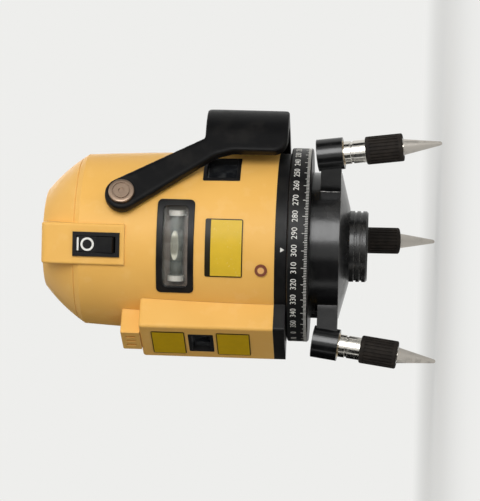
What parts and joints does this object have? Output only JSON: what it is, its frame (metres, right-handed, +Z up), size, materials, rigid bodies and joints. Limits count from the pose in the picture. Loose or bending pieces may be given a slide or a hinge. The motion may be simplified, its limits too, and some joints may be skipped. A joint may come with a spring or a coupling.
{
  "type": "cross line laser level",
  "caption": "Self-levelling line laser: round tapered head with emitter box, vial, switch and carry handle, turning on a dial base with screw feet and a tripod thread.",
  "frame": {"origin": "middle of the tripod thread's mouth, on the flat underside of the hub", "axes": "+Z up along the head's turning axis, the emitter box looks along -Y, the switch and vial lie 60 degrees from it towards +X"},
  "size_m": [0.1262, 0.1342, 0.2161],
  "materials": {
    "yellow_shell": "satin moulded",
    "yellow_plate": "printed film",
    "black_plastic": "satin moulded",
    "black_paint": "gloss paint",
    "black_rubber": "matt, knurled",
    "red_rubber": "matt",
    "bright_metal": "nickel plated",
    "steel": "turned",
    "aluminium": "turned",
    "brass": "turned",
    "copper": "turned",
    "window_glass": "polished",
    "clear_glass": "polished",
    "grey_plastic": "moulded",
    "white_plastic": "moulded",
    "board_green": "solder mask",
    "cell_sleeve": "printed sleeve",
    "magnet": "plated"
  },
  "bodies": {
    "base": {"tripod_hub": "black_paint", "base_casting": "black_paint", "foot_bushes": "brass", "dial_ring": "black_plastic", "dial_screws": "steel", "spindle_bush": "brass", "thrust_washer": "brass"},
    "handle": {"carry_handle": "black_plastic"},
    "rocker": {"switch_rocker": "black_plastic"},
    "cover": {"battery_cover": "yellow_shell"},
    "gimbal": {"gimbal_ring": "aluminium", "gimbal_pins": "steel"},
    "pendulum": {"pendulum_pin": "steel", "pendulum_stem": "aluminium", "laser_carrier": "aluminium", "front_lasers": "brass", "side_lasers": "brass", "plumb_laser": "brass", "damping_disc": "copper"},
    "foot_1": {"foot_1_spike": "bright_metal"},
    "foot_1_screw": {"foot_1_stem": "bright_metal", "foot_1_grip": "black_rubber"},
    "foot_2": {"foot_2_spike": "bright_metal"},
    "foot_2_screw": {"foot_2_stem": "bright_metal", "foot_2_grip": "black_rubber"},
    "foot_3": {"foot_3_spike": "bright_metal"},
    "foot_3_screw": {"foot_3_stem": "bright_metal", "foot_3_grip": "black_rubber"},
    "head": {"adjustment_plug": "red_rubber", "azimuth_spindle": "steel", "battery_cells": "cell_sleeve", "battery_contacts": "bright_metal", "battery_holder": "black_plastic", "board_components": "black_plastic", "bottom_skirt": "black_plastic", "circuit_board": "board_green", "damping_magnet": "magnet", "emitter_box": "yellow_shell", "front_frame": "black_plastic", "front_glass": "window_glass", "front_plates": "yellow_plate", "gimbal_plate": "aluminium", "handle_spacers": "black_plastic", "head_screws": "steel", "main_housing": "yellow_shell", "pivot_nuts": "steel", "pivot_screws": "bright_metal", "retaining_ring": "steel", "side_frames": "black_plastic", "side_glasses": "window_glass", "side_plate": "yellow_plate", "switch_can": "black_plastic", "switch_tower": "yellow_shell", "top_cap": "yellow_shell", "vial_bezel": "black_plastic", "vial_caps": "white_plastic", "vial_lens": "clear_glass", "vial_tray": "grey_plastic", "vial_tube": "clear_glass"}
  },
  "joints": [
    {"name": "head_turn", "type": "hinge", "parent": "base", "child": "head", "pos_m": [0, 0, 0.04], "axis": [0, 0, 1], "continuous": true},
    {"name": "handle_swing", "type": "hinge", "parent": "head", "child": "handle", "pos_m": [0, 0, 0.131], "axis": [1, 0, 0], "range_deg": [0, 240]},
    {"name": "switch_tip", "type": "hinge", "parent": "head", "child": "rocker", "pos_m": [0.0406, -0.02344, 0.14406], "axis": [0.5, 0.866, 0], "range_deg": [0, 16]},
    {"name": "cover_slide", "type": "slide", "parent": "head", "child": "cover", "axis": [-0.866, -0.5, 0], "range_m": [0, 0.03]},
    {"name": "gimbal_tilt", "type": "hinge", "parent": "head", "child": "gimbal", "pos_m": [0, 0, 0.126], "axis": [1, 0, 0], "range_deg": [-4, 4]},
    {"name": "pendulum_tilt", "type": "hinge", "parent": "gimbal", "child": "pendulum", "pos_m": [0, 0, 0.126], "axis": [0, 1, 0], "range_deg": [-4, 4]},
    {"name": "foot_1_travel", "type": "slide", "parent": "base", "child": "foot_1", "axis": [0, -0.1478, -0.989], "range_m": [0, 0.006]},
    {"name": "foot_1_turn", "type": "hinge", "parent": "foot_1", "child": "foot_1_screw", "pos_m": [0, -0.059, 0.0185], "axis": [0, -0.1478, -0.989], "range_deg": [0, 1442]},
    {"name": "foot_2_travel", "type": "slide", "parent": "base", "child": "foot_2", "axis": [0.128, 0.0739, -0.989], "range_m": [0, 0.006]},
    {"name": "foot_2_turn", "type": "hinge", "parent": "foot_2", "child": "foot_2_screw", "pos_m": [0.0511, 0.0295, 0.0185], "axis": [0.128, 0.0739, -0.989], "range_deg": [0, 1442]},
    {"name": "foot_3_travel", "type": "slide", "parent": "base", "child": "foot_3", "axis": [-0.128, 0.0739, -0.989], "range_m": [0, 0.006]},
    {"name": "foot_3_turn", "type": "hinge", "parent": "foot_3", "child": "foot_3_screw", "pos_m": [-0.0511, 0.0295, 0.0185], "axis": [-0.128, 0.0739, -0.989], "range_deg": [0, 1442]}
  ],
  "couplings": [
    {"joint": "foot_1_turn", "follows": "foot_1_travel", "rad_per_m": 4188.8},
    {"joint": "foot_2_turn", "follows": "foot_2_travel", "rad_per_m": 4188.8},
    {"joint": "foot_3_turn", "follows": "foot_3_travel", "rad_per_m": 4188.8}
  ]
}
